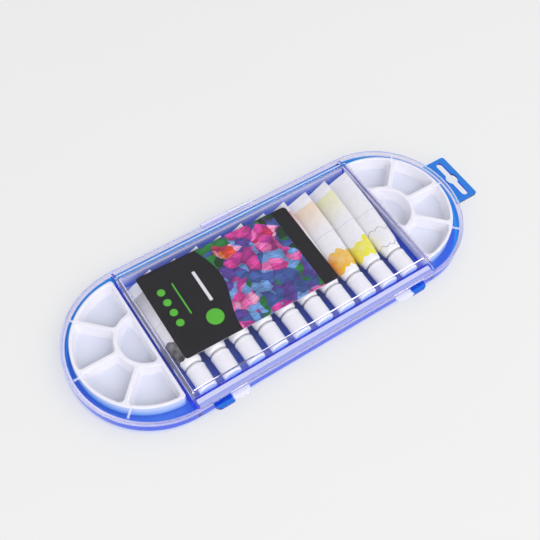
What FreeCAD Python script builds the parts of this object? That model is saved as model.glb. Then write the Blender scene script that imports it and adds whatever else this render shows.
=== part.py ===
import FreeCAD, Part
import math
import os

import Sketcher

# Art supply case: a blue tray with round ends under a clear hinged lid.
# The middle bay holds ten paint tubes and a printed card, and each round end holds a palette.
# Frame: origin on the table at the middle of the tray, +X towards the hang tab, +Z up,
# -Y the side with the finger tabs and +Y the side with the hinge. Lengths in millimetres.

DRIVING_SIZES = {
    # Paint tubes
    "tube_count": 10,
    "tube_radius": 9.0,
    "tube_gap": 2.2,
    "tube_body_length": 72.7,
    "tube_round_length": 30.0,
    "flat_start": 4.0,
    "crimp_length": 6.0,
    "crimp_width": 27.0,
    "crimp_thick": 1.4,
    "crimp_tilt": 30.0,
    "crimp_tilt_spread": 5.0,
    "shoulder_length": 2.0,
    "shoulder_band": 0.6,
    "shoulder_top_radius": 6.6,
    "neck_radius": 4.0,
    "neck_length": 11.0,
    "tube_row_shift": 1.6,
    # Screw caps
    "cap_length": 18.5,
    "cap_radius": 7.4,
    "cap_bevel": 1.0,
    "cap_rear_bevel": 1.4,
    "cap_gap": 2.3,
    "neck_clearance": 0.06,
    "cap_bore_spare": 1.0,
    # Printed card
    "card_length": 132.0,
    "card_thick": 0.4,
    "card_round": 3.0,
    "card_margin": 9.75,
    "card_skew": 1.0,
    "card_shoulder_overlap": 1.5,
    "card_tail_overlap": 1.8,
    # Tray
    "floor_thick": 1.6,
    "partition_thick": 1.5,
    "partition_height": 5.0,
    "rail_thick": 1.4,
    "channel_width": 6.4,
    "bay_end_slack": 3.25,
    "bay_side_slack": 3.65,
    "base_round": 5.0,
    "lip_thick": 1.2,
    "lip_height": 1.2,
    "fit_gap": 0.4,
    # Lid
    "skirt_thick": 1.2,
    "lid_thick": 1.3,
    "head_room": 1.7,
    "rim_rise": 4.6,
    "rim_round": 0.9,
    "box_draft": 2.2,
    "box_round": 0.9,
    "gusset_thick": 1.6,
    "hold_rib_thick": 1.6,
    "hold_rib_length": 9.0,
    "hold_rib_gap": 0.3,
    # Finger tabs and snap tongues
    "tab_pair_place": 80.0,
    "tab_width": 14.0,
    "tab_reach": 5.5,
    "tab_thick": 1.8,
    "tab_round": 4.0,
    "tab_lip_thick": 1.3,
    "tab_lip_rise": 0.9,
    "tongue_height": 2.6,
    # Hinge
    "hinge_stand_off": 2.4,
    "knuckle_radius": 2.0,
    "knuckle_length": 24.5,
    "stub_radius": 1.0,
    "stub_length": 19.0,
    "stub_clearance": 0.06,
    "stub_end_gap": 1.0,
    # Hang tab
    "hang_width": 44.6,
    "hang_reach": 18.3,
    "hang_thick": 1.8,
    "hang_round": 2.5,
    "slot_length": 37.0,
    "slot_width": 6.0,
    "slot_bump_radius": 5.2,
    "slot_edge": 8.6,
    # Palettes
    "palette_height": 12.4,
    "palette_gap": 4.65,
    "palette_clearance": 0.5,
    "palette_rim": 2.6,
    "palette_floor": 1.5,
    "palette_draft": 3.0,
    "palette_foot_ease": 1.0,
    "palette_left_out": 0.4,
    "palette_left_back": 3.9,
    "palette_right_out": 2.0,
    "palette_right_back": 2.5,
    "spoke_width": 3.4,
    "hub_radius": 20.5,
    "hub_wall": 3.4,
    "well_draft": 7.0,
    "well_bevel": 1.6,
    "rim_bevel": 0.6,
}

# Sizes that follow from the driving ones
PITCH = "(2 * Sizes.tube_radius + Sizes.tube_gap)"
TUBE_HEAD = "(Sizes.shoulder_length + Sizes.cap_gap + Sizes.cap_length)"
TUBE_ROW = f"(Sizes.tube_body_length + Sizes.crimp_length + {TUBE_HEAD})"
SHOULDER_Y = f"({TUBE_HEAD} - {TUBE_ROW} / 2 - Sizes.tube_row_shift)"
WALL = "(Sizes.skirt_thick + Sizes.fit_gap + Sizes.lip_thick)"
BAY_HALF_LENGTH = f"(Sizes.tube_count * {PITCH} / 2 + Sizes.bay_end_slack)"
BAY_HALF_WIDTH = f"({TUBE_ROW} / 2 + Sizes.bay_side_slack)"
SPINE = f"({BAY_HALF_LENGTH} + Sizes.partition_thick / 2)"
RADIUS = f"({BAY_HALF_WIDTH} + Sizes.rail_thick + Sizes.channel_width + {WALL})"
BAY_RADIUS = f"({RADIUS} - {WALL})"
TUBE_TOP = "(Sizes.floor_thick + 2 * Sizes.tube_radius)"
HEIGHT = f"({TUBE_TOP} + Sizes.card_thick + Sizes.head_room + Sizes.lid_thick)"
PARTING = f"({HEIGHT} / 2)"
LIP_TOP = f"({PARTING} + Sizes.lip_height)"
RIM_TOP = f"({PARTING} + Sizes.rim_rise)"
LID_UNDERSIDE = f"({RIM_TOP} - Sizes.lid_thick)"
BOX_HALF_WIDTH = f"({BAY_HALF_WIDTH} + Sizes.rail_thick)"
BOX_HALF_LENGTH = f"({SPINE} + Sizes.partition_thick / 2)"
HINGE_Y = f"({RADIUS} + Sizes.hinge_stand_off)"
WELL_EDGE = "(Sizes.spoke_width / 2)"
PALETTE_BACK = f"(Sizes.palette_rim - {WELL_EDGE})"
PALETTE_X = f"({SPINE} + Sizes.partition_thick / 2 + Sizes.palette_clearance + {PALETTE_BACK})"
PALETTE_RADIUS = f"({SPINE} + {BAY_RADIUS} - Sizes.palette_gap - {PALETTE_X})"
PALETTE_TOP = "(Sizes.floor_thick + Sizes.palette_height)"
BAY_FOOT_ROUND = f"(Sizes.base_round - {WALL})"
PALETTE_FOOT_BEVEL = f"({BAY_FOOT_ROUND} - Sizes.palette_foot_ease)"

# How far a joined feature reaches into the wall that carries it
ROOT = f"({WALL} / 2)"
SIDES = (1, -1)
SPOKE_STEP = 45.0
NEAR = 1e-4

doc = FreeCAD.newDocument("ArtSupplyCase")
sheet = doc.addObject("Spreadsheet::Sheet", "Sizes")
for row, (alias, number) in enumerate(DRIVING_SIZES.items(), start=1):
    sheet.set(f"A{row}", alias)
    sheet.set(f"B{row}", str(number))
    sheet.setAlias(f"B{row}", alias)
doc.recompute()


def value(expression):
    """Present number of a size expression."""
    return float(sheet.evalExpression(expression))


def new_body(label):
    body = doc.addObject("PartDesign::Body", label)
    body.Label = label
    return body


def origin_feature(body, role):
    return [feature for feature in body.Origin.OriginFeatures if feature.Role == role][0]


def new_sketch(body, name, role="XY_Plane", shift=("0", "0", "0"), turn=0.0):
    """Sketch on an origin plane, moved in the plane's own directions and turned in the plane."""
    sketch = body.newObject("Sketcher::SketchObject", name)
    sketch.AttachmentSupport = (origin_feature(body, role), [""])
    sketch.MapMode = "FlatFace"
    spin = FreeCAD.Rotation(FreeCAD.Vector(0, 0, 1), turn)
    sketch.AttachmentOffset = FreeCAD.Placement(FreeCAD.Vector(), spin)
    for letter, expression in zip("xyz", shift):
        sketch.setExpression(f"AttachmentOffset.Base.{letter}", expression)
    return sketch


def bind(sketch, constraint, expression):
    sketch.setExpression(f"Constraints[{sketch.addConstraint(constraint)}]", expression)


def pin_point(sketch, edge, end, place):
    """Ties one end of an edge to a place in the sketch."""
    for axis, kind, expression in ((-2, "DistanceX", place[0]), (-1, "DistanceY", place[1])):
        if expression == "0":
            sketch.addConstraint(Sketcher.Constraint("PointOnObject", edge, end, axis))
        else:
            bind(sketch, Sketcher.Constraint(kind, -1, 1, edge, end, value(expression)), expression)


def draw_polygon(sketch, corners):
    """Closed outline with straight sides through corners given as size expressions."""
    points = [(value(across), value(along)) for across, along in corners]
    edges = [add_line(sketch, start, end) for start, end in zip(points, points[1:] + points[:1])]
    for edge, after in zip(edges, edges[1:] + edges[:1]):
        sketch.addConstraint(Sketcher.Constraint("Coincident", edge, 2, after, 1))
    for edge, corner in zip(edges, corners):
        pin_point(sketch, edge, 1, corner)


def draw_rectangle(sketch, left, right, low, high):
    draw_polygon(sketch, [(left, low), (right, low), (right, high), (left, high)])


def draw_circle(sketch, radius):
    edge = sketch.addGeometry(Part.Circle(FreeCAD.Vector(), FreeCAD.Vector(0, 0, 1), value(radius)))
    sketch.addConstraint(Sketcher.Constraint("Coincident", edge, 3, -1, 1))
    bind(sketch, Sketcher.Constraint("Radius", edge, value(radius)), radius)


def add_line(sketch, start, end):
    return sketch.addGeometry(Part.LineSegment(FreeCAD.Vector(*start), FreeCAD.Vector(*end)))


def add_arc(sketch, centre, radius, start_degrees, end_degrees):
    circle = Part.Circle(centre, FreeCAD.Vector(0, 0, 1), radius)
    arc = Part.ArcOfCircle(circle, math.radians(start_degrees), math.radians(end_degrees))
    return sketch.addGeometry(arc)


def draw_stadium(sketch, half_straight, radius):
    """Two straight sides along the sketch's X joined by half circles."""
    reach = value(half_straight)
    size = value(radius)
    right = add_arc(sketch, FreeCAD.Vector(reach, 0, 0), size, -90, 90)
    left = add_arc(sketch, FreeCAD.Vector(-reach, 0, 0), size, 90, 270)
    top = add_line(sketch, (reach, size), (-reach, size))
    low = add_line(sketch, (-reach, -size), (reach, -size))
    edges = [right, top, left, low]
    for edge, after in zip(edges, edges[1:] + edges[:1]):
        sketch.addConstraint(Sketcher.Constraint("Tangent", edge, 2, after, 1))
    pin_point(sketch, right, 3, (half_straight, "0"))
    sketch.addConstraint(Sketcher.Constraint("Symmetric", right, 3, left, 3, -1, 1))
    bind(sketch, Sketcher.Constraint("Radius", right, size), radius)


def draw_cut_disc(sketch, radius, flat):
    """The part of a disc to the right of a flat side at a signed distance from its centre."""
    size = value(radius)
    place = value(flat)
    half = math.degrees(math.acos(place / size))
    rim = add_arc(sketch, FreeCAD.Vector(), size, -half, half)
    rise = math.sqrt(size ** 2 - place ** 2)
    side = add_line(sketch, (place, rise), (place, -rise))
    sketch.addConstraint(Sketcher.Constraint("Coincident", rim, 3, -1, 1))
    sketch.addConstraint(Sketcher.Constraint("Coincident", rim, 2, side, 1))
    sketch.addConstraint(Sketcher.Constraint("Coincident", side, 2, rim, 1))
    sketch.addConstraint(Sketcher.Constraint("Vertical", side))
    bind(sketch, Sketcher.Constraint("Radius", rim, size), radius)
    bind(sketch, Sketcher.Constraint("DistanceX", -1, 1, side, 1, place), flat)


def draw_wedge(sketch, inner, outer, edge_gap, span):
    """Ring sector from the sketch's X axis to a span in degrees, with both sides set in by a gap."""
    gap = value(edge_gap)
    ends = {}
    for name, radius in (("inner", value(inner)), ("outer", value(outer))):
        ends[name] = math.degrees(math.asin(gap / radius))
    low_in = add_arc(sketch, FreeCAD.Vector(), value(inner), ends["inner"], span - ends["inner"])
    low_out = add_arc(sketch, FreeCAD.Vector(), value(outer), ends["outer"], span - ends["outer"])
    arcs = [sketch.Geometry[low_in], sketch.Geometry[low_out]]
    first = sketch.addGeometry(Part.LineSegment(arcs[0].StartPoint, arcs[1].StartPoint))
    second = sketch.addGeometry(Part.LineSegment(arcs[0].EndPoint, arcs[1].EndPoint))
    for arc in (low_in, low_out):
        sketch.addConstraint(Sketcher.Constraint("Coincident", arc, 3, -1, 1))
    for line, arc_end in ((first, 1), (second, 2)):
        sketch.addConstraint(Sketcher.Constraint("Coincident", line, 1, low_in, arc_end))
        sketch.addConstraint(Sketcher.Constraint("Coincident", line, 2, low_out, arc_end))
        bind(sketch, Sketcher.Constraint("Distance", -1, 1, line, gap), edge_gap)
    sketch.addConstraint(Sketcher.Constraint("Horizontal", first))
    sketch.addConstraint(Sketcher.Constraint("Angle", first, 1, second, 1, math.radians(span)))
    bind(sketch, Sketcher.Constraint("Radius", low_in, value(inner)), inner)
    bind(sketch, Sketcher.Constraint("Radius", low_out, value(outer)), outer)


def extrude(body, kind, sketch, length, backwards=False, taper=None):
    """Pad or Pocket of a sketch."""
    feature = body.newObject(f"PartDesign::{kind}", f"{sketch.Name}_{kind.lower()}")
    feature.Profile = sketch
    feature.setExpression("Length", length)
    feature.Reversed = backwards
    if taper:
        feature.setExpression("TaperAngle", taper)
    doc.recompute()
    return feature


def loft(body, kind, first, last):
    feature = body.newObject(f"PartDesign::{kind}", f"{first.Name}_loft")
    feature.Profile = first
    feature.Sections = [last]
    feature.Ruled = True
    doc.recompute()
    return feature


def revolve(body, sketch, axis):
    feature = body.newObject("PartDesign::Revolution", f"{sketch.Name}_turned")
    feature.Profile = sketch
    feature.ReferenceAxis = (sketch, [axis])
    feature.Angle = 360.0
    doc.recompute()
    return feature


def polar_copies(body, feature, axis, count, sweep):
    pattern = body.newObject("PartDesign::PolarPattern", f"{feature.Name}_copies")
    pattern.Originals = [feature]
    pattern.Axis = axis
    pattern.Angle = sweep
    pattern.Occurrences = count
    body.Tip = pattern
    doc.recompute()
    return pattern


def dress_edges(body, kind, name, size, chosen):
    """Fillet or Chamfer of the edges of the body's last feature that a test chooses."""
    base = body.Tip
    names = [f"Edge{index}" for index, edge in enumerate(base.Shape.Edges, start=1) if chosen(edge)]
    dressing = body.newObject(f"PartDesign::{kind}", name)
    dressing.Base = (base, names)
    dressing.setExpression("Radius" if kind == "Fillet" else "Size", size)
    doc.recompute()
    return dressing


def round_edges(body, name, radius, chosen):
    return dress_edges(body, "Fillet", name, radius, chosen)


def bevel_edges(body, name, size, chosen):
    return dress_edges(body, "Chamfer", name, size, chosen)


def draft_walls(body, name, angle, level, outwards, chosen):
    """Slopes the chosen upright walls about the flat top at a height."""
    base = body.Tip
    walls = []
    for index, face in enumerate(base.Shape.Faces, start=1):
        box = face.BoundBox
        if box.ZLength < NEAR and abs(box.ZMin - level) < NEAR:
            neutral = f"Face{index}"
        elif box.ZLength > NEAR and chosen(face):
            walls.append(f"Face{index}")
    draft = body.newObject("PartDesign::Draft", name)
    draft.Base = (base, walls)
    draft.NeutralPlane = (base, [neutral])
    draft.Reversed = outwards
    draft.setExpression("Angle", angle)
    doc.recompute()
    return draft


def lies_at_height(edge, level):
    box = edge.BoundBox
    return abs(box.ZMin - level) < NEAR and abs(box.ZMax - level) < NEAR


def upright_at(edge, across, along):
    """True for a vertical edge that stands at a place in plan."""
    box = edge.BoundBox
    thin = box.XLength < NEAR and box.YLength < NEAR
    return thin and abs(box.XMin - across) < NEAR and abs(box.YMin - along) < NEAR


def add_finger_tab(body, name, side, near, far, low):
    """Pull tab on the front edge, with one rounded corner and a raised lip along its outer edge."""
    inner = f"{side} * {near}"
    outer = f"{side} * {far}"
    front = f"-({RADIUS} + Sizes.tab_reach)"
    plate = new_sketch(body, f"{name}_plate", shift=("0", "0", low))
    draw_rectangle(plate, inner, outer, front, f"-({RADIUS} - {ROOT})")
    extrude(body, "Pad", plate, "Sizes.tab_thick")
    lip = new_sketch(body, f"{name}_lip", shift=("0", "0", f"{low} + Sizes.tab_thick"))
    draw_rectangle(lip, inner, outer, front, f"{front} + Sizes.tab_lip_thick")
    extrude(body, "Pad", lip, "Sizes.tab_lip_rise")


def build_base_tray():
    body = new_body("base_tray")

    block = new_sketch(body, "tray_block")
    draw_stadium(block, SPINE, RADIUS)
    extrude(body, "Pad", block, PARTING)
    round_edges(body, "tray_foot_round", "Sizes.base_round", lambda edge: lies_at_height(edge, 0.0))
    crown = new_sketch(body, "tray_lip", shift=("0", "0", PARTING))
    draw_stadium(crown, SPINE, f"{BAY_RADIUS} + Sizes.lip_thick")
    extrude(body, "Pad", crown, "Sizes.lip_height")

    # Hang tab at the end of the tray
    end = f"({SPINE} + {RADIUS})"
    tip = f"{end} + Sizes.hang_reach"
    hang = new_sketch(body, "hang_tab", shift=("0", "0", f"{PARTING} - Sizes.hang_thick"))
    draw_rectangle(hang, f"{SPINE} + {BAY_HALF_WIDTH}", tip, "-Sizes.hang_width / 2", "Sizes.hang_width / 2")
    extrude(body, "Pad", hang, "Sizes.hang_thick")
    corner = value("Sizes.hang_width / 2")
    round_edges(body, "hang_tab_corners", "Sizes.hang_round",
                lambda edge: upright_at(edge, value(tip), corner) or upright_at(edge, value(tip), -corner))

    # Finger tabs, each with a snap tongue above it that stands in the lid's skirt
    near = "(Sizes.tab_pair_place + Sizes.fit_gap / 2)"
    far = "(Sizes.tab_pair_place + Sizes.tab_width)"
    for side in SIDES:
        name = "right" if side > 0 else "left"
        add_finger_tab(body, f"tray_{name}_tab", side, near, far, f"{PARTING} - Sizes.tab_thick")
        tongue = new_sketch(body, f"tray_{name}_tongue", shift=("0", "0", PARTING))
        draw_rectangle(tongue, f"{side} * {near}", f"{side} * {far}",
                       f"-{RADIUS}", f"-({BAY_RADIUS} + Sizes.lip_thick / 2)")
        extrude(body, "Pad", tongue, "Sizes.tongue_height")
    front = -value(f"{RADIUS} + Sizes.tab_reach")
    round_edges(body, "tray_tab_corners", "Sizes.tab_round",
                lambda edge: upright_at(edge, value(far), front) or upright_at(edge, -value(far), front))

    # Hinge knuckle on the left of the middle, with the stub that the lid turns on
    web = new_sketch(body, "tray_knuckle_web", "YZ_Plane", ("0", "0", "-Sizes.knuckle_length"))
    draw_rectangle(web, f"{RADIUS} - {ROOT}", HINGE_Y, f"{PARTING} - Sizes.knuckle_radius", PARTING)
    extrude(body, "Pad", web, "Sizes.knuckle_length - Sizes.fit_gap / 2")
    knuckle = new_sketch(body, "tray_knuckle", "YZ_Plane", (HINGE_Y, PARTING, "-Sizes.knuckle_length"))
    draw_circle(knuckle, "Sizes.knuckle_radius")
    extrude(body, "Pad", knuckle, "Sizes.knuckle_length - Sizes.fit_gap / 2")
    stub = new_sketch(body, "tray_stub", "YZ_Plane", (HINGE_Y, PARTING, "-Sizes.knuckle_length / 2"))
    draw_circle(stub, "Sizes.stub_radius")
    extrude(body, "Pad", stub, "Sizes.knuckle_length / 2 + Sizes.stub_length")

    # Bays cut from the top: a round bay at each end, the tube bay and a channel along each side.
    # Between the rails, the partitions stand lower than the palettes.
    depth = f"{LIP_TOP} - Sizes.floor_thick"
    for side in SIDES:
        name = "right" if side > 0 else "left"
        turn = 0.0 if side > 0 else 180.0
        bay = new_sketch(body, f"{name}_palette_bay", shift=(f"{side} * {SPINE}", "0", LIP_TOP), turn=turn)
        draw_cut_disc(bay, BAY_RADIUS, "Sizes.partition_thick / 2")
        extrude(body, "Pocket", bay, depth)
        channel = new_sketch(body, f"{'back' if side > 0 else 'front'}_channel", shift=("0", "0", LIP_TOP))
        draw_rectangle(channel, f"-{BAY_HALF_LENGTH}", BAY_HALF_LENGTH,
                       f"{side} * {BOX_HALF_WIDTH}", f"{side} * {BAY_RADIUS}")
        extrude(body, "Pocket", channel, depth)
    middle = new_sketch(body, "tube_bay", shift=("0", "0", LIP_TOP))
    draw_rectangle(middle, f"-{BAY_HALF_LENGTH}", BAY_HALF_LENGTH, f"-{BAY_HALF_WIDTH}", BAY_HALF_WIDTH)
    extrude(body, "Pocket", middle, depth)
    for side in SIDES:
        relief = new_sketch(body, f"{'right' if side > 0 else 'left'}_partition_top", shift=("0", "0", LIP_TOP))
        draw_rectangle(relief, f"{side} * ({BAY_HALF_LENGTH} - Sizes.fit_gap)",
                       f"{side} * ({BOX_HALF_LENGTH} + Sizes.fit_gap)", f"-{BAY_HALF_WIDTH}", BAY_HALF_WIDTH)
        extrude(body, "Pocket", relief, f"{depth} - Sizes.partition_height")
    floor = value("Sizes.floor_thick")
    reach = value(BAY_RADIUS)
    spine = value(SPINE)

    def on_outer_wall(place):
        beyond = max(abs(place.x) - spine, 0.0)
        return abs(math.hypot(beyond, place.y) - reach) < NEAR

    def meets_outer_wall(edge):
        first, last = edge.ParameterRange
        places = [edge.valueAt(spot) for spot in (first, (first + last) / 2, last)]
        return lies_at_height(edge, floor) and all(on_outer_wall(place) for place in places)

    round_edges(body, "bay_foot_round", BAY_FOOT_ROUND, meets_outer_wall)

    # Hang slot with its wider middle
    slot_x = f"{tip} - Sizes.slot_edge"
    slot = new_sketch(body, "hang_slot", shift=(slot_x, "0", PARTING), turn=90.0)
    draw_stadium(slot, "Sizes.slot_length / 2 - Sizes.slot_width / 2", "Sizes.slot_width / 2")
    extrude(body, "Pocket", slot, "Sizes.hang_thick")
    bump = new_sketch(body, "hang_slot_bump", shift=(slot_x, "0", PARTING))
    draw_circle(bump, "Sizes.slot_bump_radius")
    extrude(body, "Pocket", bump, "Sizes.hang_thick")
    return body


def build_lid():
    body = new_body("lid")

    cover = new_sketch(body, "lid_cover", shift=("0", "0", PARTING))
    draw_stadium(cover, SPINE, RADIUS)
    extrude(body, "Pad", cover, "Sizes.rim_rise")
    round_edges(body, "lid_rim_round", "Sizes.rim_round", lambda edge: lies_at_height(edge, value(RIM_TOP)))

    # Raised box over the tubes, with sloping walls
    sections = []
    for name, level, inset in (("foot", RIM_TOP, "0"), ("top", HEIGHT, "Sizes.box_draft")):
        section = new_sketch(body, f"box_{name}", shift=("0", "0", level))
        half_x = f"({BOX_HALF_LENGTH} - {inset})"
        half_y = f"({BOX_HALF_WIDTH} - {inset})"
        draw_rectangle(section, f"-{half_x}", half_x, f"-{half_y}", half_y)
        sections.append(section)
    loft(body, "AdditiveLoft", sections[0], sections[1])
    round_edges(body, "box_top_round", "Sizes.box_round", lambda edge: lies_at_height(edge, value(HEIGHT)))

    # Gussets across the lid at both ends of the box, sloping from its top to the rim
    for side in SIDES:
        name = "right" if side > 0 else "left"
        near_face = f"{side} * {SPINE} - Sizes.gusset_thick / 2"
        gusset = new_sketch(body, f"{name}_gusset", "YZ_Plane", ("0", "0", near_face))
        foot = f"({RADIUS} - Sizes.rim_round)"
        top = f"({BOX_HALF_WIDTH} - Sizes.box_draft - Sizes.box_round)"
        low = f"({RIM_TOP} - Sizes.lid_thick / 2)"
        high = f"({HEIGHT} - Sizes.box_round)"
        draw_polygon(gusset, [(f"-{foot}", low), (foot, low), (foot, RIM_TOP), (top, high),
                              (f"-{top}", high), (f"-{foot}", RIM_TOP)])
        extrude(body, "Pad", gusset, "Sizes.gusset_thick")

    # Pull tabs beside the tray's
    near = "(Sizes.tab_pair_place - Sizes.fit_gap / 2)"
    far = "(Sizes.tab_pair_place - Sizes.tab_width)"
    for side in SIDES:
        name = "right" if side > 0 else "left"
        add_finger_tab(body, f"lid_{name}_tab", side, near, far, PARTING)
    front = -value(f"{RADIUS} + Sizes.tab_reach")
    round_edges(body, "lid_tab_corners", "Sizes.tab_round",
                lambda edge: upright_at(edge, value(far), front) or upright_at(edge, -value(far), front))

    # Hinge knuckle on the right of the middle
    web = new_sketch(body, "lid_knuckle_web", "YZ_Plane", ("0", "0", "Sizes.fit_gap / 2"))
    draw_rectangle(web, f"{RADIUS} - Sizes.skirt_thick / 2", HINGE_Y,
                   PARTING, f"{PARTING} + Sizes.knuckle_radius")
    extrude(body, "Pad", web, "Sizes.knuckle_length - Sizes.fit_gap / 2")
    knuckle = new_sketch(body, "lid_knuckle", "YZ_Plane", (HINGE_Y, PARTING, "Sizes.fit_gap / 2"))
    draw_circle(knuckle, "Sizes.knuckle_radius")
    extrude(body, "Pad", knuckle, "Sizes.knuckle_length - Sizes.fit_gap / 2")
    bore = new_sketch(body, "lid_knuckle_bore", "YZ_Plane", (HINGE_Y, PARTING, "0"))
    draw_circle(bore, "Sizes.stub_radius + Sizes.stub_clearance")
    extrude(body, "Pocket", bore, "Sizes.stub_length + Sizes.stub_end_gap", backwards=True)

    # Hollow under the rim and under the box
    hollow = new_sketch(body, "lid_hollow", shift=("0", "0", PARTING))
    draw_stadium(hollow, SPINE, f"{RADIUS} - Sizes.skirt_thick")
    extrude(body, "Pocket", hollow, f"{LID_UNDERSIDE} - {PARTING}", backwards=True)
    sections = []
    ceiling = f"{HEIGHT} - Sizes.lid_thick"
    for name, level, inset in (("foot", LID_UNDERSIDE, "0"), ("top", ceiling, "Sizes.box_draft")):
        section = new_sketch(body, f"box_hollow_{name}", shift=("0", "0", level))
        half_x = f"({BOX_HALF_LENGTH} - Sizes.lid_thick - {inset})"
        half_y = f"({BOX_HALF_WIDTH} - Sizes.lid_thick - {inset})"
        draw_rectangle(section, f"-{half_x}", half_x, f"-{half_y}", half_y)
        sections.append(section)
    loft(body, "SubtractiveLoft", sections[0], sections[1])

    # Notches in the skirt for the tray's snap tongues
    for side in SIDES:
        name = "right" if side > 0 else "left"
        notch = new_sketch(body, f"{name}_notch", shift=("0", "0", PARTING))
        draw_rectangle(notch, f"{side} * (Sizes.tab_pair_place - Sizes.fit_gap / 2)",
                       f"{side} * (Sizes.tab_pair_place + Sizes.tab_width + Sizes.fit_gap)",
                       f"-({RADIUS} + Sizes.fit_gap)", f"-({RADIUS} - Sizes.skirt_thick - Sizes.fit_gap)")
        extrude(body, "Pocket", notch, "Sizes.tongue_height + Sizes.fit_gap", backwards=True)

    # Ribs under the round ends that hold each palette's rim down wherever it has slid to
    drop = f"({LID_UNDERSIDE} - {PALETTE_TOP} - Sizes.hold_rib_gap)"
    outer = f"({BAY_RADIUS} - Sizes.fit_gap)"
    for side in SIDES:
        name = "right" if side > 0 else "left"
        turn = -SPOKE_STEP if side > 0 else 180.0 - SPOKE_STEP
        rib = new_sketch(body, f"{name}_hold_rib", turn=turn,
                         shift=(f"{side} * {SPINE}", "0", f"{LID_UNDERSIDE} - {drop}"))
        draw_rectangle(rib, f"{outer} - Sizes.hold_rib_length", outer,
                       "-Sizes.hold_rib_thick / 2", "Sizes.hold_rib_thick / 2")
        pad = extrude(body, "Pad", rib, f"{drop} + Sizes.lid_thick / 2")
        polar_copies(body, pad, (rib, ["N_Axis"]), 3, 2 * SPOKE_STEP)
    return body


def build_palette(label, side):
    """Half-round palette with four wedge wells round a half-round well, lying loose in its bay."""
    body = new_body(label)
    outline = new_sketch(body, f"{label}_outline")
    draw_cut_disc(outline, PALETTE_RADIUS, f"-{PALETTE_BACK}")
    extrude(body, "Pad", outline, "Sizes.palette_height")

    depth = "Sizes.palette_height - Sizes.palette_floor"
    ring = "Sizes.hub_radius + Sizes.hub_wall"
    wedge = new_sketch(body, f"{label}_wedge", shift=("0", "0", "Sizes.palette_height"), turn=-90.0)
    draw_wedge(wedge, ring, f"{PALETTE_RADIUS} - Sizes.palette_rim", WELL_EDGE, SPOKE_STEP)
    well = extrude(body, "Pocket", wedge, depth)
    polar_copies(body, well, (origin_feature(body, "Z_Axis"), [""]), 4, 3 * SPOKE_STEP)
    hub = new_sketch(body, f"{label}_hub", shift=("0", "0", "Sizes.palette_height"))
    draw_cut_disc(hub, "Sizes.hub_radius", WELL_EDGE)
    extrude(body, "Pocket", hub, depth)

    floor = value("Sizes.palette_floor")
    top = value("Sizes.palette_height")
    draft_walls(body, f"{label}_outer_draft", "Sizes.palette_draft", top, outwards=True,
                chosen=lambda face: face.BoundBox.ZMin < floor - NEAR)
    draft_walls(body, f"{label}_well_draft", "Sizes.well_draft", top, outwards=False,
                chosen=lambda face: abs(face.BoundBox.ZMin - floor) < NEAR)
    bevel_edges(body, f"{label}_well_bevel", "Sizes.well_bevel", lambda edge: lies_at_height(edge, floor))
    bevel_edges(body, f"{label}_rim_bevel", "Sizes.rim_bevel", lambda edge: lies_at_height(edge, top))
    bevel_edges(body, f"{label}_foot_bevel", PALETTE_FOOT_BEVEL, lambda edge: lies_at_height(edge, 0.0))

    body.setExpression("Placement.Base.x", f"{side} * ({PALETTE_X} + Sizes.{label}_out)")
    body.setExpression("Placement.Base.y", f"Sizes.{label}_back")
    body.setExpression("Placement.Base.z", "Sizes.floor_thick")
    body.setExpression("Placement.Rotation.Angle", "0" if side > 0 else "180")
    return body


def place_in_row(body, index, tilt):
    """Lays a tube or its cap at its place in the row, turned about its own axis."""
    turn = FreeCAD.Rotation(FreeCAD.Vector(0, 1, 0), value(tilt))
    body.Placement = FreeCAD.Placement(FreeCAD.Vector(), turn)
    body.setExpression("Placement.Rotation.Angle", tilt)
    body.setExpression("Placement.Base.x", f"({index} - (Sizes.tube_count + 1) / 2) * {PITCH}")
    body.setExpression("Placement.Base.y", SHOULDER_Y)
    body.setExpression("Placement.Base.z", "Sizes.floor_thick + Sizes.tube_radius")


def tail_tilt(index):
    """Turn of a tube about its axis: neighbours lie turned a little more and a little less."""
    sign = "+" if index % 2 else "-"
    return f"-(Sizes.crimp_tilt {sign} Sizes.crimp_tilt_spread)"


def build_tube(index):
    """Squeeze tube: round behind the shoulder, widening and pressed flat towards a crimped tail."""
    label = f"tube_{index:02d}"
    body = new_body(label)
    section = new_sketch(body, f"{label}_section")
    neck_end = "-(Sizes.shoulder_length + Sizes.neck_length)"
    tail_end = "(Sizes.tube_body_length + Sizes.crimp_length)"
    half_width = "(Sizes.crimp_width / 2)"
    half_thick = "(Sizes.crimp_thick / 2)"
    draw_polygon(section, [("0", neck_end), ("Sizes.neck_radius", neck_end),
                           ("Sizes.neck_radius", "-Sizes.shoulder_length"),
                           ("Sizes.shoulder_top_radius", "-Sizes.shoulder_length"),
                           ("Sizes.tube_radius", "-Sizes.shoulder_band"),
                           ("Sizes.tube_radius", "Sizes.tube_round_length"),
                           (half_width, "Sizes.tube_body_length"), (half_width, tail_end), ("0", tail_end)])
    revolve(body, section, "V_Axis")

    # Everything outside two planes that close on the tail is pressed away
    run = "(Sizes.tube_body_length - Sizes.flat_start)"
    crest = f"(Sizes.tube_radius + (Sizes.tube_radius - {half_thick}) * Sizes.flat_start / {run})"
    beyond = f"({tail_end} + Sizes.crimp_length)"
    for side in SIDES:
        name = "top" if side > 0 else "under"
        press = new_sketch(body, f"{label}_{name}_press", "YZ_Plane", ("0", "0", f"-{half_width}"))
        draw_polygon(press, [("0", f"{side} * {crest}"), ("Sizes.tube_body_length", f"{side} * {half_thick}"),
                             (beyond, f"{side} * {half_thick}"), (beyond, f"{side} * Sizes.crimp_width"),
                             ("0", f"{side} * Sizes.crimp_width")])
        extrude(body, "Pocket", press, "Sizes.crimp_width", backwards=True)
    place_in_row(body, index, tail_tilt(index))
    return body


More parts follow.
